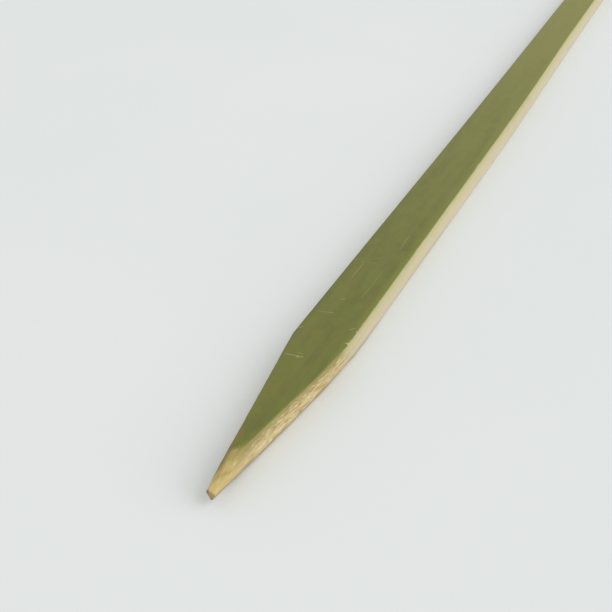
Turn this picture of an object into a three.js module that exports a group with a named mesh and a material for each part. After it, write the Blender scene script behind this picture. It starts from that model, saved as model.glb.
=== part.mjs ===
// Flat bamboo skewer: one strip split from a bamboo culm, with one end cut to a blunt point.
// It lies on its planed underside with the green skin of the culm on top.
// Millimetres, +X towards the point, +Y across, +Z up, origin at the bottom centre.

import * as THREE from 'three';

// Strip
const LENGTH = 180;
const WIDTH = 5;
const THICKNESS = 2.45;
// Radius of the culm's outside, which the skin face keeps
const CULM_RADIUS = 45;
// Radius worn on the long edges
const ARRIS = 0.14;
// Chamfer left by sawing the plain end
const SAWN_EDGE = 0.12;

// Point: two straight side cuts, which lean in under the skin
const POINT_LENGTH = 19.3;
// The leaning cuts reach the underside this much earlier than the skin
const UNDERSIDE_SETBACK = 1.9;

// Nose: the last stretch, dressed blunt on all four sides
const NOSE_LENGTH = 4.7;
const NOSE_SKIN_WIDTH = 1.2;
const NOSE_UNDERSIDE_WIDTH = 0.7;
const SKIN_FALL = 0.65;
const UNDERSIDE_RISE = 0.5;
const UNDERSIDE_RISE_LENGTH = 8;
// Power of the curve by which the skin falls and the underside rises
const NOSE_CURVE = 1.5;

// Tip: the small end face, broad at the skin and narrow below
const TIP_SKIN_WIDTH = 0.74;
const TIP_UNDERSIDE_WIDTH = 0.22;
const TIP_EDGE = 0.1;

// Fineness of the surface
const SHAFT_STEP = 10;
const POINT_STEP = 0.4;
const ARRIS_STEPS = 5;
const SKIN_STEPS = 8;

// Places along the strip
const TAIL_X = -LENGTH / 2;
const TIP_X = LENGTH / 2;
const SHOULDER_X = TIP_X - POINT_LENGTH;
const UNDERSIDE_SHOULDER_X = SHOULDER_X - UNDERSIDE_SETBACK;
const NOSE_X = TIP_X - NOSE_LENGTH;
const RISE_X = TIP_X - UNDERSIDE_RISE_LENGTH;

const { clamp, lerp } = THREE.MathUtils;

// Share of the way from one place to another, from 0 to 1
function share(x, from, to) {
  return clamp((x - from) / (to - from), 0, 1);
}

// Half width of a face of the strip, straight from its shoulder to the nose and on to the tip
function halfWidth(x, shoulderX, noseWidth, tipWidth) {
  const cut = lerp(WIDTH, noseWidth, share(x, shoulderX, NOSE_X));
  const dressed = (tipWidth - noseWidth) * share(x, NOSE_X, TIP_X);
  return (cut + dressed) / 2;
}

// Size of the cross-section at a place along the strip, drawn in on every side by an inset
function sectionSize(x, inset) {
  const skinHalf = halfWidth(x, SHOULDER_X, NOSE_SKIN_WIDTH, TIP_SKIN_WIDTH);
  const undersideHalf = halfWidth(x, UNDERSIDE_SHOULDER_X, NOSE_UNDERSIDE_WIDTH, TIP_UNDERSIDE_WIDTH);
  const fall = SKIN_FALL * share(x, NOSE_X, TIP_X) ** NOSE_CURVE;
  const rise = UNDERSIDE_RISE * share(x, RISE_X, TIP_X) ** NOSE_CURVE;
  return {
    skinHalf: skinHalf - inset,
    undersideHalf: Math.max(undersideHalf - inset, undersideHalf / 2),
    top: THICKNESS - fall - inset,
    bottom: rise + inset,
  };
}

// How far the culm's round drops from the middle of the skin face at a distance from it
function skinDrop(y) {
  return CULM_RADIUS - Math.sqrt(CULM_RADIUS ** 2 - y ** 2);
}

// Points of an arc about a centre in the plane of the cross-section
function arc(centreY, centreZ, radius, fromAngle, toAngle, steps) {
  const points = [];
  for (let i = 0; i <= steps; i += 1) {
    const angle = lerp(fromAngle, toAngle, i / steps);
    points.push(new THREE.Vector2(centreY + radius * Math.cos(angle), centreZ + radius * Math.sin(angle)));
  }
  return points;
}

// Right half of the outline, from the underside up to the edge of the skin face.
// Each arris is an arc that touches the leaning side and the face beside it.
function sideOutline(size, radius, edgeTop) {
  const lean = Math.atan2(size.skinHalf - size.undersideHalf, edgeTop - size.bottom);
  const lowY = size.undersideHalf - radius * Math.tan(Math.PI / 4 - lean / 2);
  const highY = size.skinHalf - radius * Math.tan(Math.PI / 4 + lean / 2);
  const low = arc(lowY, size.bottom + radius, radius, -Math.PI / 2, -lean, ARRIS_STEPS);
  const high = arc(highY, edgeTop - radius, radius, -lean, Math.PI / 2, ARRIS_STEPS);
  return [...low, ...high];
}

// The skin face between its two edges, part of the culm's round
function skinOutline(edgeY, top) {
  const points = [];
  for (let i = 1; i < SKIN_STEPS; i += 1) {
    const y = lerp(edgeY, -edgeY, i / SKIN_STEPS);
    points.push(new THREE.Vector2(y, top - skinDrop(y)));
  }
  return points;
}

// Closed outline of the cross-section, anticlockwise when seen from the point
function outline(size) {
  const edgeTop = size.top - skinDrop(size.skinHalf);
  const room = Math.min(size.undersideHalf, (edgeTop - size.bottom) / 3);
  const radius = Math.min(ARRIS, room);
  const right = sideOutline(size, radius, edgeTop);
  const skin = skinOutline(right[right.length - 1].x, size.top);
  const left = right.map((point) => new THREE.Vector2(-point.x, point.y)).reverse();
  return [...right, ...skin, ...left];
}

// Evenly spaced places from one end of a stretch up to the other, without the last
function spaced(from, to, step) {
  const count = Math.ceil((to - from) / step);
  return Array.from({ length: count }, (_, i) => lerp(from, to, i / count));
}

// Every cross-section from the sawn end to the tip
function sections() {
  const tailX = TAIL_X + SAWN_EDGE;
  const frontX = TIP_X - TIP_EDGE;
  const places = [
    ...spaced(tailX, UNDERSIDE_SHOULDER_X, SHAFT_STEP),
    ...spaced(UNDERSIDE_SHOULDER_X, SHOULDER_X, POINT_STEP),
    ...spaced(SHOULDER_X, NOSE_X, POINT_STEP),
    ...spaced(NOSE_X, frontX, POINT_STEP),
    frontX,
  ];
  return [
    { x: TAIL_X, inset: SAWN_EDGE },
    ...places.map((x) => ({ x, inset: 0 })),
    { x: TIP_X, inset: TIP_EDGE },
  ];
}

// Skins a row of matching rings and closes each end with a fan
function loft(rings) {
  const positions = [];
  const index = [];
  const count = rings[0].length;
  rings.flat().forEach((point) => positions.push(point.x, point.y, point.z));
  for (let ring = 0; ring + 1 < rings.length; ring += 1) {
    for (let i = 0; i < count; i += 1) {
      const a = ring * count + i;
      const b = ring * count + (i + 1) % count;
      index.push(a, b, a + count, b, b + count, a + count);
    }
  }
  const last = (rings.length - 1) * count;
  for (let i = 1; i + 1 < count; i += 1) {
    index.push(0, i + 1, i);
    index.push(last, last + i, last + i + 1);
  }
  const geometry = new THREE.BufferGeometry();
  geometry.setAttribute('position', new THREE.Float32BufferAttribute(positions, 3));
  geometry.setIndex(index);
  geometry.computeVertexNormals();
  return geometry;
}

function makeSkewer() {
  const rings = sections().map(({ x, inset }) => {
    const points = outline(sectionSize(x, inset));
    return points.map((point) => new THREE.Vector3(x, point.x, point.y));
  });
  const bamboo = new THREE.MeshStandardMaterial({ color: 0x7c8249, roughness: 0.55, metalness: 0 });
  const skewer = new THREE.Mesh(loft(rings), bamboo);
  skewer.name = 'skewer';
  return skewer;
}

const bambooSkewer = new THREE.Group();
bambooSkewer.add(makeSkewer());

export default bambooSkewer;
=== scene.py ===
"""Flat bamboo skewer with its green skin left on, lying on a pale table.

The strip is modelled in millimetres and brought to metres as its last step.
+X runs towards the point, +Y across the strip, +Z up out of the skin face.
"""

import math

import bmesh
import bpy
from mathutils import Matrix, Vector, noise


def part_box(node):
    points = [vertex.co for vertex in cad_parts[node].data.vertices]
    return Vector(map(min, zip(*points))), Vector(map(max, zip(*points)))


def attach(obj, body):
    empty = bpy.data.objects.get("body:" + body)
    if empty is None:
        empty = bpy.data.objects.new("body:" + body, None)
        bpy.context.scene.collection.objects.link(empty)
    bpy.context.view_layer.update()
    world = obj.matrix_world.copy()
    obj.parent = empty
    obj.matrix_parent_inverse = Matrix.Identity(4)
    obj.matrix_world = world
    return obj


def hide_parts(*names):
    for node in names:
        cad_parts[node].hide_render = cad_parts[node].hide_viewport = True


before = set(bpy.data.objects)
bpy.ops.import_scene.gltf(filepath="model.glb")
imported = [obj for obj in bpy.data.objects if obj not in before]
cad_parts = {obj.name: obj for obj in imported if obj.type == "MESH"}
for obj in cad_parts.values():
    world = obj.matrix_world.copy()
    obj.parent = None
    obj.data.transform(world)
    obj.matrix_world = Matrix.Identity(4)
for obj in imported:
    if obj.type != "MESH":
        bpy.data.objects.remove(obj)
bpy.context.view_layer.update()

MM = 0.001

NUMBER = "NodeSocketFloat"
VECTOR = "NodeSocketVector"

# Camera: how far it looks down and to the left of -X, in degrees, and its place in millimetres
CAMERA_PITCH = 32.67
CAMERA_HEADING = 24.09
CAMERA_PLACE = (134.88, 27.45, 50.47)
# Focal length and width of the photograph in its pixels, and the width of film that stands for it
FOCAL_PIXELS = 1000.0
PHOTO_PIXELS = 612.0
FILM_WIDTH = 36.0
CLIP_START = 0.005

# Table, sky and window lamp, in metres and watts
TABLE_REACH = 12.0
SKY_STRENGTH = 0.77
WINDOW_PLACE = (-0.375, 3.0, 2.25)
WINDOW_AIM = (0.03, 0, 0)
WINDOW_SIZE = 4.5
WINDOW_POWER = 72.0

# Strip, in millimetres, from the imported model
strip_low, strip_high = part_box("skewer")
TAIL_X = strip_low.x / MM
TIP_X = strip_high.x / MM
WIDTH = (strip_high.y - strip_low.y) / MM
THICKNESS = (strip_high.z - strip_low.z) / MM
CULM_RADIUS = 45.0
ARRIS = 0.14
# Widest that a worn edge gets, as a share of the half width, where the strip is narrow
NARROW_ARRIS = 0.4
END_ROUND = 0.12

# Point, in millimetres: two side cuts from the shoulders to the nose, then a dressed nose
SHOULDER_X = TIP_X - 19.3
UNDERSIDE_SHOULDER_X = SHOULDER_X - 1.9
NOSE_X = TIP_X - 4.7
RISE_X = TIP_X - 8.0
NOSE_SKIN_WIDTH = 1.2
NOSE_UNDERSIDE_WIDTH = 0.7
TIP_SKIN_WIDTH = 0.74
TIP_UNDERSIDE_WIDTH = 0.22
SKIN_FALL = 0.85
UNDERSIDE_RISE = 0.65
NOSE_CURVE = 1.5
# How far a section has drawn in where its side begins to be cut wood, and where it is all cut
CUT_SEEN = (0.02, 0.2)

# Slanting cut that takes the skin off the right of the nose: where its upper edge leaves the
# side, how fast that edge crosses the strip, and how steep the cut is
PARED_X = TIP_X - 9.6
PARED_TURN = math.tan(math.radians(13))
PARED_SLOPE = math.tan(math.radians(15))
# How far its edge wanders, and the length over which it starts to
PARED_RAGGED = 0.07
PARED_SETTLE = 2.0
# Where the skin is scraped off the rest of the nose, how far that place wanders, over what
# length the scraping deepens and the wood's fibres come up, and how deep it is
BARE_X = TIP_X - 4.3
BARE_RAGGED = 0.6
BARE_FADE = 0.8
BARE_FIBRES_FADE = 1.0
BARE_DEPTH = 0.08
# How often the cut's edge and the scraping wander per millimetre along and across, and seed
PARED_GRAIN = (0.9, 6.0)
BARE_GRAIN = (0.3, 7.0)
WANDER_SEED = 3.1
# Dark speck at the upper left corner of the tip
SPECK = (TIP_X, -0.34, 1.4)
SPECK_REACH = 0.3

# The strip's slight bend to the right, widest at a place on its length
CROOK = 0.13
CROOK_X = 12.0
CROOK_REACH = 38.0

# The right side's departures from a straight strip: its foot swells out along the middle, the
# skin is trimmed back towards the sawn end, and the foot is worn where the cut begins
FOOT_SWELL = 0.24
FOOT_SWELL_X = 20.0
FOOT_SWELL_REACH = 32.0
SKIN_TRIM = 0.27
SHOULDER_WEAR = 0.07
SHOULDER_WEAR_REACH = 2.0
# How far the right cut of the point stands out at its foot, and at the skin near its start
CUT_FOOT = 0.17
CUT_SKIN = 0.08
# Where three of these are nothing and where they are full, first at one end, then at the other
CUT_FOOT_ENDS = ((SHOULDER_X - 0.7, SHOULDER_X + 4.3), (TIP_X, TIP_X - 4.0))
CUT_SKIN_ENDS = ((SHOULDER_X - 0.7, SHOULDER_X + 2.3), (TIP_X - 8.0, TIP_X - 13.0))
SKIN_TRIM_ENDS = ((13.0, -25.0), (-75.0, -40.0))

# Chips along the right edge of the skin: place, half length, how far in they reach
CHIPS = (
    (70.2, 0.35, 0.3),
    (69.7, 0.2, 0.12),
    (68.3, 0.4, 0.1),
    (67.7, 0.2, 0.07),
    (66.9, 0.25, 0.09),
    (64.4, 0.25, 0.09),
    (52.8, 0.7, 0.12),
    (31.0, 0.9, 0.14),
    (-18.0, 1.2, 0.14),
)
# Depth of a chip as a share of how far in it reaches, the share of its half length over which
# it deepens, and how high up the side it starts, as a share of the thickness
CHIP_STEEPNESS = 0.7
CHIP_FADE = 0.8
CHIP_FLOOR = 0.6
# How much a chip's reach varies along it, as a share, and how often per millimetre
CHIP_RAGGED = 0.9
CHIP_GRAIN = 5.0

# Scratches on the skin: start and end across the face in millimetres, width, and how pale
SCRATCHES = (
    ((73.85, -1.7), (73.7, -0.25), 0.07, 0.75),
    ((73.9, -0.62), (73.72, -0.22), 0.12, 0.8),
    ((73.35, -0.95), (73.3, -0.3), 0.05, 0.5),
    ((66.75, -1.95), (66.55, -0.45), 0.07, 0.5),
    ((64.2, -0.7), (64.0, -0.45), 0.1, 0.6),
    ((69.8, -2.3), (69.55, -2.05), 0.1, 0.6),
    ((60.2, -1.27), (57.4, -1.2), 0.07, 0.4),
    ((57.1, -1.5), (56.9, -0.1), 0.06, 0.35),
    ((56.2, -0.6), (55.5, 0.3), 0.05, 0.25),
    ((63.2, 0.9), (58.1, 0.97), 0.06, 0.25),
    ((53.4, 1.05), (50.6, 1.0), 0.07, 0.3),
    ((68.4, 1.85), (68.0, 2.1), 0.08, 0.6),
)

# Brown smudges on the skin: place, reach along and across in millimetres, and how strong
STAINS = (
    ((78.8, -0.85), 1.1, 0.3, 0.7),
    ((80.0, -0.55), 0.6, 0.25, 0.5),
    ((64.1, 1.8), 1.1, 0.4, 0.55),
)

# Fibres in relief: height in millimetres, how often they change per millimetre across, length
# in millimetres, and seed
PLANED_FIBRES = ((0.006, 3.0, 14.0, 1.7), (0.004, 7.0, 5.0, 8.2))
TORN_FIBRES = ((0.022, 3.2, 2.6, 4.4), (0.014, 8.0, 1.3, 6.9))
SKIN_FIBRES = ((0.003, 2.0, 18.0, 12.0),)
# Pits of the cut wood: depth, grain in the same way, and the noise level that they start at
PIT_DEPTH = 0.07
PIT_GRAIN = (4.5, 1.8, 21.0)
PIT_LEVEL = 0.32
# How squarely a face looks up, or along the strip, where that begins to count and is full
FACES_UP = (0.6, 0.95)
FACES_ALONG = (0.5, 0.9)

# Fineness of the mesh, and stretches of its length with the longest step in each
SKIN_COLUMNS = 40
SIDE_ROWS = 18
ARRIS_SEGMENTS = 4
STRETCHES = (
    (TAIL_X, TAIL_X + END_ROUND, 0.03),
    (TAIL_X + END_ROUND, TAIL_X + 4.0, 0.25),
    (TAIL_X + 4.0, -45.0, 0.65),
    (-45.0, 60.0, 0.42),
    (60.0, SHOULDER_X - 2.0, 0.15),
    (SHOULDER_X - 2.0, TIP_X - END_ROUND, 0.075),
    (TIP_X - END_ROUND, TIP_X, 0.03),
)

# Grain of the colours: how often it changes per millimetre along and across, and seed
FINE_GRAIN = (0.22, 9.0, 0.0)
DASH_GRAIN = (0.45, 4.2, 11.0)
THREAD_GRAIN = (0.5, 8.0, 17.0)
BROAD_GRAIN = (0.07, 0.9, 3.0)
MOTTLE_GRAIN = (0.5, 0.8, 7.0)
PATCH_GRAIN = (0.9, 2.6, 23.0)

# Shades are screen values from 0 to 255. In these rows each follows the noise level, or the
# depth below the skin as a share of the thickness, that it belongs to
SKIN_SHADES = ((0.36, (101, 104, 44)), (0.5, (107, 110, 48)), (0.64, (113, 115, 52)))
# The planed sides' last two stops, darkest at the underside, are painted shadow along the foot where
# the strip meets the table
PLANED_SHADES_AND_FOOT_SHADOW = (
    (0.02, (152, 156, 92)), (0.08, (184, 182, 132)), (0.2, (192, 188, 142)), (0.36, (203, 193, 156)),
    (0.6, (206, 195, 164)), (0.9, (206, 197, 171)), (0.96, (176, 165, 146)), (1.0, (146, 134, 114)),
)
# The cut wood's last stop, darker near the underside, is painted shadow along its foot
CUT_SHADES_AND_FOOT_SHADOW = (
    (0.02, (134, 131, 66)), (0.08, (148, 141, 80)), (0.2, (154, 144, 88)), (0.34, (168, 154, 102)),
    (0.5, (194, 174, 125)), (0.64, (204, 187, 140)), (0.88, (204, 188, 144)), (0.97, (166, 150, 120)),
)

# Tints over the skin: where each begins, where it is full, how strong it gets there, and its
# shade. Places are noise levels, or millimetres along or across the strip
GREENER_SKIN = (0.45, 0.62, 0.6, (112, 120, 44))
BROWNER_SKIN = (0.42, 0.3, 0.5, (114, 108, 52))
SKIN_THREAD = (0.7, 0.42, 0.16, (94, 97, 44))
# Painted sheen: the skin paler and yellower towards the sawn end, where it is seen at a grazing angle
SKIN_FAR_SHEEN = (75.0, -45.0, 0.6, (137, 134, 56))
SKIN_RIGHT_EDGE = (WIDTH / 2 - 0.7, WIDTH / 2 - 0.2, 0.5, (122, 126, 54))
SKIN_LEFT_EDGE = (0.3 - WIDTH / 2, -WIDTH / 2, 0.5, (88, 94, 36))
# Tints over the wood, in the same way, or by millimetres up from the underside
ROSIER_WOOD = (0.5, 0.66, 0.35, (214, 194, 164))
GREENER_WOOD = (0.46, 0.34, 0.35, (198, 196, 146))
DARK_DASH = (0.5, 0.38, 0.85, (176, 142, 90))
PALE_DASH = (0.52, 0.61, 0.8, (222, 205, 154))
PALE_THREAD = (0.53, 0.63, 0.85, (234, 220, 174))
WOOD_THREAD = (0.7, 0.3, 0.16, (170, 143, 95))
GOLDEN_NOSE = (BARE_X - 0.6, TIP_X - 1.0, 0.65, (212, 187, 120))
DARK_PATCH = (0.47, 0.34, 0.6, (158, 136, 74))
PALE_PATCH = (0.53, 0.66, 0.6, (218, 198, 146))
# Painted shadow along the foot of the sides towards the point, by height up from the underside
SHADED_FOOT = (0.6, 0.0, 0.7, (140, 122, 92))
END_FACE = (TIP_X - 0.14, TIP_X - 0.03, 0.7, (164, 132, 90))
DARK_SPECK = (SPECK_REACH, 0.05, 0.7, (78, 60, 40))
# Shades that go by a mask of their own
STAIN_SHADE = (122, 103, 48)
SCRATCH_SHADE = (176, 178, 124)
VESSEL_SHADE = (158, 128, 84)
# Painted shade on the nose's left edge
NOSE_EDGE_SHADOW_SHADE = (124, 108, 60)
TABLE_SHADES = ((223, 227, 226), (229, 232, 231))

# Masks: where each begins and ends and, unless it goes from 0 to 1, how strong it is at the two.
# They go by noise level, or by millimetres along the strip, below the skin or up from the foot
STAIN_BLOTCHES = (0.4, 0.58, 0.3, 1.0)
SCRATCH_BREAKS = (0.36, 0.58, 0.3, 1.0)
DASHES_BY_DEPTH = (0.2, 0.75, 0.12, 1.0)
DASHES_BY_X = (NOSE_X - 2.0, NOSE_X + 1.5, 1.0, 0.3)
GOLDEN_BY_HEIGHT = (0.1, 0.8, 0.2, 1.0)
PATCHES_BY_X = (BARE_X, BARE_X + 0.8)
PATCHES_BY_DEPTH = (1.6, 0.6)
# Where the painted foot shadow comes in along the strip
SHADED_FOOT_BY_X = (SHOULDER_X - 12.0, SHOULDER_X)
VESSELS_BY_X = (TAIL_X + 0.08, TAIL_X, 0.25, 0.8)
NEAR_VESSELS_BY_DEPTH = (1.3, 0.5)
FAR_VESSELS_BY_DEPTH = (0.7, 1.5)
# Painted shade along the nose's left edge, where it rounds away from the light: by distance from that
# edge, along, at the tip, by depth
NOSE_EDGE_SHADOW_ACROSS = (0.6, 0.15)
NOSE_EDGE_SHADOW_BY_X = (NOSE_X - 2.4, NOSE_X, 0.0, 0.85)
NOSE_EDGE_SHADOW_AT_TIP = (TIP_X, TIP_X - 2.6, 0.5, 1.0)
NOSE_EDGE_SHADOW_BY_DEPTH = (1.2, 0.5, 0.3, 1.0)

# Vessels: spacing in millimetres, and size as a share of it, near the skin and far from it
NEAR_VESSELS = (0.3, 0.42)
FAR_VESSELS = (0.55, 0.36)
VESSEL_CORE = 0.05
# How often they end along the strip, as a share of how often they repeat across it
VESSEL_RUN = 0.012

# The skin's lower border, in millimetres below the top, first on planed and then on cut wood:
# how ragged it is, and where the skin is gone. Where it is still whole comes last
SKIN_RAGGED = (0.1, 0.2)
SKIN_GONE = (0.12, 0.16)
SKIN_WHOLE = 0.03

# Finish: roughness, shine, and the fibres' bump with its height in millimetres
WOOD_ROUGHNESS = 0.7
SKIN_ROUGHNESS = 0.5
SHINE = 0.3
BUMP_STRENGTH = 0.5
BUMP_HEIGHT = 0.03
FINE_SHARE = 0.6
TABLE_ROUGHNESS = 0.9
TABLE_SHINE = 0.15
TABLE_CLOUDS = 18.0


def mix(a, b, share):
    return a + (b - a) * share


def share_of(x, start, end):
    return min(max((x - start) / (end - start), 0.0), 1.0)


def ease(x, start, end):
    share = share_of(x, start, end)
    return share * share * (3 - 2 * share)


def bump(x, middle, reach):
    """Rises smoothly from 0 to 1 at the middle and falls back."""
    return math.exp(-(((x - middle) / reach) ** 2))


def link(piece):
    bpy.context.scene.collection.objects.link(piece)


# Camera


def add_camera():
    """Looks along the strip from beyond its point, as the photograph does."""
    pitch = math.radians(CAMERA_PITCH)
    heading = math.radians(CAMERA_HEADING)
    level = math.cos(pitch)
    forward = Vector((-math.cos(heading) * level, -math.sin(heading) * level, -math.sin(pitch)))
    right = Vector((-math.sin(heading), math.cos(heading), 0))
    up = right.cross(forward)
    data = bpy.data.cameras.new("camera")
    data.sensor_width = FILM_WIDTH
    data.lens = FILM_WIDTH * FOCAL_PIXELS / PHOTO_PIXELS
    data.clip_start = CLIP_START
    camera = bpy.data.objects.new("camera", data)
    turn = Matrix((right, up, -forward)).transposed().to_4x4()
    camera.matrix_world = Matrix.Translation(Vector(CAMERA_PLACE) * MM) @ turn
    link(camera)
    bpy.context.scene.camera = camera


# Skewer mesh


def stations():
    """Places of the cross-sections, from the sawn end to the tip."""
    places = []
    for start, end, step in STRETCHES:
        count = math.ceil((end - start) / step)
        places += [mix(start, end, i / count) for i in range(count)]
    return places + [TIP_X]


def block():
    """A bar of the strip's size with worn long edges."""
    bm = bmesh.new()
    bmesh.ops.create_cube(bm, size=1.0)
    bmesh.ops.scale(bm, vec=(TIP_X - TAIL_X, WIDTH, THICKNESS), verts=bm.verts)
    bmesh.ops.translate(bm, vec=(0, 0, THICKNESS / 2), verts=bm.verts)
    bmesh.ops.bevel(
        bm, geom=long_edges(bm), offset=ARRIS, offset_type="OFFSET", segments=ARRIS_SEGMENTS,
        profile=0.5, affect="EDGES", material=-1,
    )
    return bm


def long_edges(bm):
    """Edges that run along the strip, which are longer than a millimetre until they are cut."""
    return [e for e in bm.edges if abs(e.verts[0].co.x - e.verts[1].co.x) > 1.0]


def cut_across(bm, axis, start, end, count):
    """Cuts the bar by evenly spaced planes that face along an axis."""
    for i in range(count + 1):
        geom = bm.verts[:] + bm.edges[:] + bm.faces[:]
        plane = axis * mix(start, end, i / count)
        bmesh.ops.bisect_plane(bm, geom=geom, dist=1e-4, plane_co=plane, plane_no=axis)


def half_width(x, shoulder_x, nose_width, tip_width):
    cut = mix(WIDTH, nose_width, share_of(x, shoulder_x, NOSE_X))
    return (cut + (tip_width - nose_width) * share_of(x, NOSE_X, TIP_X)) / 2


def skin_half_width(x):
    return half_width(x, SHOULDER_X, NOSE_SKIN_WIDTH, TIP_SKIN_WIDTH)


def underside_half_width(x):
    return half_width(x, UNDERSIDE_SHOULDER_X, NOSE_UNDERSIDE_WIDTH, TIP_UNDERSIDE_WIDTH)


def end_inset(x):
    """How far the section draws in where the two ends are rounded over."""
    reach = min(x - TAIL_X, TIP_X - x)
    if reach >= END_ROUND:
        return 0.0
    return END_ROUND - math.sqrt(max(END_ROUND**2 - (END_ROUND - reach) ** 2, 0.0))


def drawn_in(offset, full_half, new_half):
    """Moves an offset from the middle to a narrower section, and keeps the worn edge's size."""
    arris = min(ARRIS, NARROW_ARRIS * new_half)
    flat = full_half - ARRIS
    if abs(offset) <= flat:
        return offset * (new_half - arris) / flat
    return math.copysign(new_half - arris * (full_half - abs(offset)) / ARRIS, offset)


def wander(x, y, along, across):
    """Noise over the skin face, from about -1 to 1. Frequencies are per millimetre."""
    return noise.noise(Vector((x * along, y * across, WANDER_SEED)))


def pared(x, y):
    """Depth taken off the skin by the slanting cut, and on the scraped nose."""
    edge = skin_half_width(PARED_X) - PARED_TURN * (x - PARED_X)
    ragged = PARED_RAGGED * wander(x, y, *PARED_GRAIN) * ease(x, PARED_X, PARED_X + PARED_SETTLE)
    start = BARE_X + BARE_RAGGED * wander(x, y, *BARE_GRAIN)
    scraped = BARE_DEPTH * ease(x, start, start + BARE_FADE)
    return max(PARED_SLOPE * (y - edge + ragged), scraped, 0.0)


def chipped(x, y):
    """Depth of the chips along the right edge of the skin."""
    depth = 0.0
    edge = WIDTH / 2
    for place, half_length, reach in CHIPS:
        along = 1 - abs(x - place) / half_length
        if along > 0:
            ragged = 1 + CHIP_RAGGED * noise.noise(Vector((x * CHIP_GRAIN, CHIP_GRAIN, place)))
            bite = reach * ragged * ease(along, 0.0, CHIP_FADE)
            depth = max(depth, CHIP_STEEPNESS * bite * ease(y, edge - bite, edge - bite / 2))
    return depth


def within(x, ends):
    """From 0 outside a stretch to 1 inside it, eased at both of its ends."""
    first, second = ends
    return ease(x, *first) * ease(x, *second)


def right_side_shift(x, height):
    """How far the right side stands out at a place, at a height from 0 at the foot to 1."""
    foot = FOOT_SWELL * bump(x, FOOT_SWELL_X, FOOT_SWELL_REACH)
    foot -= SHOULDER_WEAR * bump(x, UNDERSIDE_SHOULDER_X, SHOULDER_WEAR_REACH)
    foot += CUT_FOOT * within(x, CUT_FOOT_ENDS)
    skin = CUT_SKIN * within(x, CUT_SKIN_ENDS) - SKIN_TRIM * within(x, SKIN_TRIM_ENDS)
    return mix(foot, skin, height)


def shape_section(vert, x):
    """Moves one vertex of the bar to its place on the strip, and gives its share of cut wood."""
    height = vert.co.z / THICKNESS
    inset = end_inset(x)
    half = mix(underside_half_width(x), skin_half_width(x), height)
    y = drawn_in(vert.co.y, WIDTH / 2, half - min(inset, half / 2))
    y += right_side_shift(x, height) * share_of(y, 0.0, half)
    top = THICKNESS - SKIN_FALL * share_of(x, NOSE_X, TIP_X) ** NOSE_CURVE - inset
    bottom = UNDERSIDE_RISE * share_of(x, RISE_X, TIP_X) ** NOSE_CURVE + inset
    middle = (top + bottom) / 2
    z = middle + drawn_in(vert.co.z - THICKNESS / 2, THICKNESS / 2, (top - bottom) / 2)
    z -= y * y / (2 * CULM_RADIUS) * height
    z -= pared(x, y) * height + chipped(x, y) * ease(height, CHIP_FLOOR, 1.0)
    vert.co = Vector((x, y, z))
    return ease(WIDTH / 2 - half, *CUT_SEEN)


def fibre(co, across, along, seed):
    """Noise drawn out along the strip, from about -1 to 1."""
    return noise.noise(Vector((co.x / along + seed, co.y * across, co.z * across)))


def fibres(co, layers):
    """Height of several layers of fibres, in millimetres."""
    return sum(height * fibre(co, *grain) for height, *grain in layers)


def relief(co, normal, cut, at_end):
    """Height of the surface's fibres, in millimetres."""
    pits = -PIT_DEPTH * max(fibre(co, *PIT_GRAIN) - PIT_LEVEL, 0.0)
    wood = mix(fibres(co, PLANED_FIBRES), fibres(co, TORN_FIBRES) + pits, cut)
    skin = mix(fibres(co, SKIN_FIBRES), wood, ease(co.x, BARE_X, BARE_X + BARE_FIBRES_FADE))
    return mix(wood, skin, ease(normal.z, *FACES_UP)) * (1 - at_end)


def strip_mesh():
    bm = block()
    cut_across(bm, Vector((0, 1, 0)), ARRIS - WIDTH / 2, WIDTH / 2 - ARRIS, SKIN_COLUMNS)
    cut_across(bm, Vector((0, 0, 1)), ARRIS, THICKNESS - ARRIS, SIDE_ROWS)
    places = stations()
    bmesh.ops.subdivide_edges(bm, edges=long_edges(bm), cuts=len(places) - 2, use_grid_fill=False)
    cut_layer = bm.verts.layers.float.new("cut")
    spacing = (TIP_X - TAIL_X) / (len(places) - 1)
    for vert in bm.verts:
        x = places[round((vert.co.x - TAIL_X) / spacing)]
        vert[cut_layer] = shape_section(vert, x)
    bm.normal_update()
    raised = []
    for vert in bm.verts:
        at_end = ease(abs(vert.normal.x), *FACES_ALONG)
        raised.append(relief(vert.co, vert.normal, vert[cut_layer], at_end))
    for vert, height in zip(bm.verts, raised):
        vert.co += vert.normal * height
        vert.co.y += CROOK * bump(vert.co.x, CROOK_X, CROOK_REACH)
        vert.co.z = max(vert.co.z, 0.0)
    for face in bm.faces:
        face.smooth = True
    bmesh.ops.scale(bm, vec=(MM, MM, MM), verts=bm.verts)
    mesh = bpy.data.meshes.new("bamboo_strip")
    bm.to_mesh(mesh)
    bm.free()
    return mesh


def make_skewer():
    skewer = bpy.data.objects.new("bamboo_strip", strip_mesh())
    link(skewer)
    skewer.data.materials.append(bamboo_material())
    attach(skewer, "root")
    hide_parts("skewer")


# Materials


def colour(shade):
    """Linear colour of a shade written in screen values from 0 to 255."""
    channels = [c / 255 for c in shade]
    linear = [c / 12.92 if c <= 0.04045 else ((c + 0.055) / 1.055) ** 2.4 for c in channels]
    return (*linear, 1.0)


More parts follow.
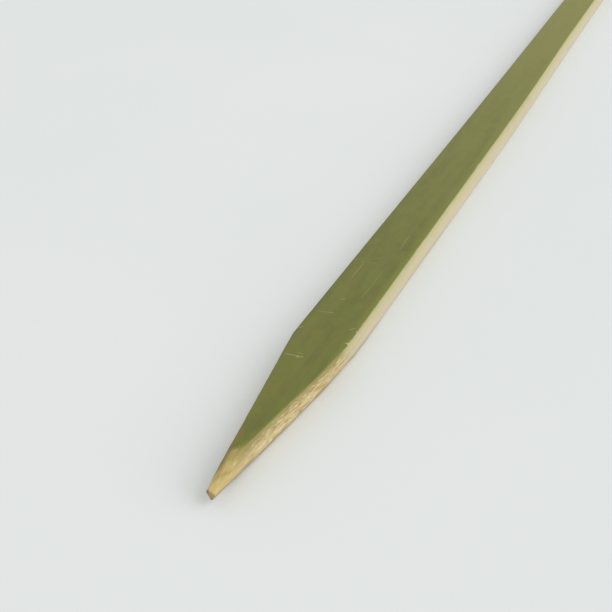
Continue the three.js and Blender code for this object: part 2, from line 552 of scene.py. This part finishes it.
class Nodes:
    """Adds linked nodes to one node tree."""

    def __init__(self, tree):
        self.tree = tree

    def add(self, kind, settings=None, **inputs):
        node = self.tree.nodes.new(kind)
        for name, value in (settings or {}).items():
            setattr(node, name, value)
        for name, value in inputs.items():
            self.put(node, name.replace("_", " "), value)
        return node

    def put(self, node, name, value):
        """Links or sets an input, given by its name or, as i0, i1 and so on, by its number."""
        number = name[1:]
        socket = node.inputs[int(number) if name[0] == "i" and number.isdigit() else name]
        if isinstance(value, bpy.types.NodeSocket):
            self.tree.links.new(value, socket)
        else:
            socket.default_value = value

    def math(self, operation, a, b=0.0, clamp=False):
        settings = {"operation": operation, "use_clamp": clamp}
        return self.add("ShaderNodeMath", settings, i0=a, i1=b).outputs[0]

    def times(self, a, b):
        return self.math("MULTIPLY", a, b)

    def vector(self, operation, a, b):
        return self.add("ShaderNodeVectorMath", {"operation": operation}, i0=a, i1=b).outputs[0]

    def measure(self, operation, a, b=(0, 0, 0)):
        """A number made from two vectors, such as their distance."""
        return self.add("ShaderNodeVectorMath", {"operation": operation}, i0=a, i1=b).outputs["Value"]

    def scaled(self, vector, scale):
        settings = {"operation": "SCALE"}
        return self.add("ShaderNodeVectorMath", settings, Vector=vector, Scale=scale).outputs[0]

    def span(self, value, start, end, low=0.0, high=1.0):
        """A smooth step of a value, from low at start to high at end."""
        node = self.add("ShaderNodeMapRange", {"interpolation_type": "SMOOTHSTEP"})
        names = ("Value", "From Min", "From Max", "To Min", "To Max")
        for name, given in zip(names, (value, start, end, low, high)):
            self.put(node, name, given)
        return node.outputs[0]

    def blend(self, share, a, b):
        node = self.add("ShaderNodeMix", {"data_type": "RGBA", "blend_type": "MIX"})
        self.put(node, "i0", share)
        self.put(node, "i6", a)
        self.put(node, "i7", b)
        return node.outputs[2]

    def tint(self, under, value, tint, mask=None):
        """Lays a tint over a colour where the value asks for it and, if one is given, in a mask."""
        start, full, strength, shade = tint
        share = self.span(value, start, full, high=strength)
        if mask is not None:
            share = self.times(share, mask)
        return self.blend(share, under, colour(shade))

    def ramp(self, share, stops):
        node = self.add("ShaderNodeValToRGB")
        elements = node.color_ramp.elements
        while len(elements) < len(stops):
            elements.new(0.5)
        for element, (place, shade) in zip(elements, stops):
            element.position = place
            element.color = colour(shade)
        self.put(node, "i0", share)
        return node.outputs[0]

    def group(self, tree, **inputs):
        return self.add("ShaderNodeGroup", {"node_tree": tree}, **inputs).outputs[0]

    def surface(self, **inputs):
        """Ends a material with one plain shader."""
        shader = self.add("ShaderNodeBsdfPrincipled", **inputs)
        self.add("ShaderNodeOutputMaterial", Surface=shader.outputs[0])


def new_group(name, inputs, output):
    """A node group with the inputs given as name and socket type, and one number as its output."""
    group = bpy.data.node_groups.new(name, "ShaderNodeTree")
    for label, kind in inputs:
        group.interface.new_socket(name=label, in_out="INPUT", socket_type=kind)
    group.interface.new_socket(name=output, in_out="OUTPUT", socket_type=NUMBER)
    nodes = Nodes(group)
    return group, nodes, nodes.add("NodeGroupInput").outputs, nodes.add("NodeGroupOutput")


def grain_group():
    """Noise drawn out along the strip, as fibres are. Frequencies are per millimetre."""
    inputs = (("Place", VECTOR), ("Along", NUMBER), ("Across", NUMBER), ("Seed", NUMBER))
    group, nodes, given, ends = new_group("bamboo_grain", inputs, "Value")
    across = given["Across"]
    scale = nodes.add("ShaderNodeCombineXYZ", X=given["Along"], Y=across, Z=across)
    texture = nodes.add(
        "ShaderNodeTexNoise", {"noise_dimensions": "4D"},
        Vector=nodes.vector("MULTIPLY", given["Place"], scale.outputs[0]),
        W=given["Seed"], Scale=1.0, Detail=3.0, Roughness=0.6,
    )
    nodes.put(ends, "Value", texture.outputs["Fac"])
    return group


def bundle_group():
    """The dark vessels of the wood: long lines on its sides, and dots on its sawn end."""
    inputs = (("Place", VECTOR), ("Spacing", NUMBER), ("Size", NUMBER))
    group, nodes, given, ends = new_group("bamboo_bundles", inputs, "Mask")
    across = nodes.math("DIVIDE", 1.0, given["Spacing"])
    along = nodes.times(across, VESSEL_RUN)
    scale = nodes.add("ShaderNodeCombineXYZ", X=along, Y=across, Z=across)
    cells = nodes.add(
        "ShaderNodeTexVoronoi", {"voronoi_dimensions": "3D", "feature": "F1"},
        Vector=nodes.vector("MULTIPLY", given["Place"], scale.outputs[0]),
        Scale=1.0, Randomness=0.75,
    )
    nodes.put(ends, "Mask", nodes.span(cells.outputs["Distance"], given["Size"], VESSEL_CORE))
    return group


def scratch_group():
    """A mark along a line on the skin: 1 at its middle and 0 beyond its width."""
    inputs = (("Place", VECTOR), ("Start", VECTOR), ("End", VECTOR), ("Width", NUMBER))
    group, nodes, given, ends = new_group("skin_scratch", inputs, "Mask")
    flat = nodes.vector("MULTIPLY", given["Place"], (1, 1, 0))
    reach = nodes.vector("SUBTRACT", given["End"], given["Start"])
    offset = nodes.vector("SUBTRACT", flat, given["Start"])
    length = nodes.measure("DOT_PRODUCT", reach, reach)
    along = nodes.math("DIVIDE", nodes.measure("DOT_PRODUCT", offset, reach), length, clamp=True)
    distance = nodes.measure("DISTANCE", offset, nodes.scaled(reach, along))
    nodes.put(ends, "Mask", nodes.span(distance, given["Width"], 0.0))
    return group


class Strip:
    """Where a point of the surface lies on the strip, in millimetres, and the fibres there."""

    def __init__(self, nodes):
        self.nodes = nodes
        self.grain_tree = grain_group()
        self.bundle_tree = bundle_group()
        here = nodes.add("ShaderNodeTexCoord").outputs["Object"]
        self.place = nodes.scaled(here, 1 / MM)
        axes = nodes.add("ShaderNodeSeparateXYZ", Vector=self.place).outputs
        self.x = axes["X"]
        self.y = axes["Y"]
        self.cut = nodes.add("ShaderNodeAttribute", {"attribute_name": "cut"}).outputs["Fac"]
        crown = nodes.times(nodes.times(self.y, self.y), 0.5 / CULM_RADIUS)
        self.depth = nodes.math("SUBTRACT", nodes.math("SUBTRACT", THICKNESS, crown), axes["Z"])
        self.depth_share = nodes.times(self.depth, 1 / THICKNESS)
        past_rise = nodes.math("SUBTRACT", self.x, RISE_X)
        share = nodes.math("MULTIPLY", past_rise, 1 / (TIP_X - RISE_X), clamp=True)
        underside = nodes.times(nodes.math("POWER", share, NOSE_CURVE), UNDERSIDE_RISE)
        self.height = nodes.math("SUBTRACT", axes["Z"], underside)
        self.fine = self.grain(*FINE_GRAIN)
        self.dashes = self.grain(*DASH_GRAIN)
        self.threads = self.grain(*THREAD_GRAIN)
        self.broad = self.grain(*BROAD_GRAIN)
        self.mottle = self.grain(*MOTTLE_GRAIN)
        self.patch = self.grain(*PATCH_GRAIN)

    def grain(self, along, across, seed):
        """Noise around 0.5, with its frequencies per millimetre."""
        inputs = {"Along": along, "Across": across, "Seed": seed}
        return self.nodes.group(self.grain_tree, Place=self.place, **inputs)

    def bundles(self, spacing, size):
        return self.nodes.group(self.bundle_tree, Place=self.place, Spacing=spacing, Size=size)


def skin_colour(nodes, strip):
    """The culm's green skin: mottled, and yellower towards the sawn end with painted sheen."""
    skin = nodes.ramp(strip.broad, SKIN_SHADES)
    skin = nodes.tint(skin, strip.mottle, GREENER_SKIN)
    skin = nodes.tint(skin, strip.mottle, BROWNER_SKIN)
    skin = nodes.tint(skin, strip.fine, SKIN_THREAD)
    # Painted sheen towards the sawn end
    skin = nodes.tint(skin, strip.x, SKIN_FAR_SHEEN)
    skin = nodes.tint(skin, strip.y, SKIN_RIGHT_EDGE)
    skin = nodes.tint(skin, strip.y, SKIN_LEFT_EDGE)
    blotchy = nodes.span(strip.patch, *STAIN_BLOTCHES)
    for place, along, across, strength in STAINS:
        offset = nodes.vector("SUBTRACT", strip.place, (*place, 0))
        offset = nodes.vector("MULTIPLY", offset, (1 / along, 1 / across, 0))
        stain = (1.0, 0.2, strength, STAIN_SHADE)
        skin = nodes.tint(skin, nodes.measure("LENGTH", offset), stain, blotchy)
    return skin


def planed_colour(nodes, strip):
    """The long planed sides, greenish under the skin, creamier below, with painted shadow at the
    foot.
    """
    planed = nodes.ramp(strip.depth_share, PLANED_SHADES_AND_FOOT_SHADOW)
    planed = nodes.tint(planed, strip.mottle, ROSIER_WOOD)
    return nodes.tint(planed, strip.mottle, GREENER_WOOD)


def cut_colour(nodes, strip):
    """The tan wood of the cut point, with short pale and dark fibres, and painted shadow at its foot.
    """
    tan = nodes.ramp(strip.depth_share, CUT_SHADES_AND_FOOT_SHADOW)
    inside = nodes.span(strip.depth, *DASHES_BY_DEPTH)
    inside = nodes.times(inside, nodes.span(strip.x, *DASHES_BY_X))
    tan = nodes.tint(tan, strip.dashes, DARK_DASH, inside)
    tan = nodes.tint(tan, strip.dashes, PALE_DASH, inside)
    return nodes.tint(tan, strip.threads, PALE_THREAD, inside)


def vessels(nodes, strip):
    """Small and close under the skin, larger and further apart below, and strongest where sawn."""
    near = nodes.times(strip.bundles(*NEAR_VESSELS), nodes.span(strip.depth, *NEAR_VESSELS_BY_DEPTH))
    far = nodes.times(strip.bundles(*FAR_VESSELS), nodes.span(strip.depth, *FAR_VESSELS_BY_DEPTH))
    return nodes.times(nodes.math("MAXIMUM", near, far), nodes.span(strip.x, *VESSELS_BY_X))


def wood_colour(nodes, strip):
    """All bare wood: the sides, the cuts, the dressed nose and the two ends, with painted shadow
    along the foot towards the point.
    """
    wood = nodes.blend(strip.cut, planed_colour(nodes, strip), cut_colour(nodes, strip))
    wood = nodes.tint(wood, strip.fine, WOOD_THREAD)
    wood = nodes.blend(vessels(nodes, strip), wood, colour(VESSEL_SHADE))
    wood = nodes.tint(wood, strip.x, GOLDEN_NOSE, nodes.span(strip.height, *GOLDEN_BY_HEIGHT))
    patches = nodes.span(strip.x, *PATCHES_BY_X)
    patches = nodes.times(patches, nodes.span(strip.depth, *PATCHES_BY_DEPTH))
    wood = nodes.tint(wood, strip.patch, DARK_PATCH, patches)
    wood = nodes.tint(wood, strip.patch, PALE_PATCH, patches)
    # Painted shadow along the foot of the sides towards the point
    wood = nodes.tint(wood, strip.height, SHADED_FOOT, nodes.span(strip.x, *SHADED_FOOT_BY_X))
    return nodes.tint(wood, strip.x, END_FACE)


def nose_edge_shade_and_speck(nodes, strip, under):
    """Painted olive-brown shade on the left edge of the nose, where it rounds away from the light,
    and the dark speck at its corner.
    """
    half = nodes.span(strip.x, NOSE_X, TIP_X, NOSE_SKIN_WIDTH / 2, TIP_SKIN_WIDTH / 2)
    edge_shadow = nodes.span(nodes.math("ADD", strip.y, half), *NOSE_EDGE_SHADOW_ACROSS)
    edge_shadow = nodes.times(edge_shadow, nodes.span(strip.x, *NOSE_EDGE_SHADOW_BY_X))
    edge_shadow = nodes.times(edge_shadow, nodes.span(strip.x, *NOSE_EDGE_SHADOW_AT_TIP))
    edge_shadow = nodes.times(edge_shadow, nodes.span(strip.depth, *NOSE_EDGE_SHADOW_BY_DEPTH))
    # Painted shade where the nose's left edge rounds away from the light
    edge_shaded = nodes.blend(edge_shadow, under, colour(NOSE_EDGE_SHADOW_SHADE))
    return nodes.tint(edge_shaded, nodes.measure("DISTANCE", strip.place, SPECK), DARK_SPECK)


def skin_share(nodes, strip):
    """How much of the green skin is left. It ends cleanly on the sides and in fibres on the cuts."""
    reach = nodes.span(strip.cut, 0.0, 1.0, *SKIN_RAGGED)
    ragged = nodes.times(nodes.math("SUBTRACT", strip.fine, 0.5), reach)
    gone = nodes.span(strip.cut, 0.0, 1.0, *SKIN_GONE)
    return nodes.span(nodes.math("ADD", strip.depth, ragged), gone, SKIN_WHOLE)


def scratched(nodes, strip, under, share):
    """Adds the scratches to the skin."""
    tree = scratch_group()
    broken = nodes.span(strip.dashes, *SCRATCH_BREAKS)
    for start, end, width, pale in SCRATCHES:
        mark = nodes.group(tree, Place=strip.place, Start=(*start, 0), End=(*end, 0), Width=width)
        mark = nodes.times(nodes.times(mark, share), nodes.times(broken, pale))
        under = nodes.blend(mark, under, colour(SCRATCH_SHADE))
    return under


def new_material(name):
    material = bpy.data.materials.new(name)
    material.use_nodes = True
    material.node_tree.nodes.clear()
    return material, Nodes(material.node_tree)


def bamboo_material():
    """Skin over wood, the skin a little smoother, and both with fine fibres."""
    material, nodes = new_material("bamboo")
    strip = Strip(nodes)
    share = skin_share(nodes, strip)
    whole = nodes.blend(share, wood_colour(nodes, strip), skin_colour(nodes, strip))
    whole = scratched(nodes, strip, nose_edge_shade_and_speck(nodes, strip, whole), share)
    fine = nodes.times(strip.fine, FINE_SHARE)
    height = nodes.math("ADD", fine, nodes.times(strip.dashes, strip.cut))
    raised = nodes.add(
        "ShaderNodeBump", Strength=BUMP_STRENGTH, Distance=BUMP_HEIGHT * MM, Height=height,
    )
    rough = nodes.span(share, 0.0, 1.0, WOOD_ROUGHNESS, SKIN_ROUGHNESS)
    nodes.surface(
        Base_Color=whole, Roughness=rough, Specular_IOR_Level=SHINE, Normal=raised.outputs[0],
    )
    return material


def table_material():
    material, nodes = new_material("pale_table")
    here = nodes.add("ShaderNodeTexCoord").outputs["Object"]
    cloud = nodes.add("ShaderNodeTexNoise", Vector=here, Scale=TABLE_CLOUDS, Detail=2.0)
    darker, paler = TABLE_SHADES
    shade = nodes.blend(cloud.outputs["Fac"], colour(darker), colour(paler))
    nodes.surface(Base_Color=shade, Roughness=TABLE_ROUGHNESS, Specular_IOR_Level=TABLE_SHINE)
    return material


# Table and light


def add_table():
    bm = bmesh.new()
    bmesh.ops.create_grid(bm, x_segments=1, y_segments=1, size=TABLE_REACH)
    mesh = bpy.data.meshes.new("table")
    bm.to_mesh(mesh)
    bm.free()
    table = bpy.data.objects.new("table", mesh)
    link(table)
    mesh.materials.append(table_material())


def add_window():
    """One big soft lamp."""
    data = bpy.data.lights.new("window", "AREA")
    data.shape = "DISK"
    data.size = WINDOW_SIZE
    data.energy = WINDOW_POWER
    lamp = bpy.data.objects.new("window", data)
    place = Vector(WINDOW_PLACE)
    turn = (Vector(WINDOW_AIM) - place).to_track_quat("-Z", "Y")
    lamp.matrix_world = Matrix.Translation(place) @ turn.to_matrix().to_4x4()
    link(lamp)


def add_sky():
    world = bpy.data.worlds.new("room")
    world.use_nodes = True
    sky = world.node_tree.nodes["Background"]
    sky.inputs["Color"].default_value = (1.0, 1.0, 1.0, 1.0)
    sky.inputs["Strength"].default_value = SKY_STRENGTH
    bpy.context.scene.world = world


add_camera()
make_skewer()
add_table()
add_sky()
add_window()

bpy.context.scene.view_settings.view_transform = "Standard"

bpy.context.view_layer.update()
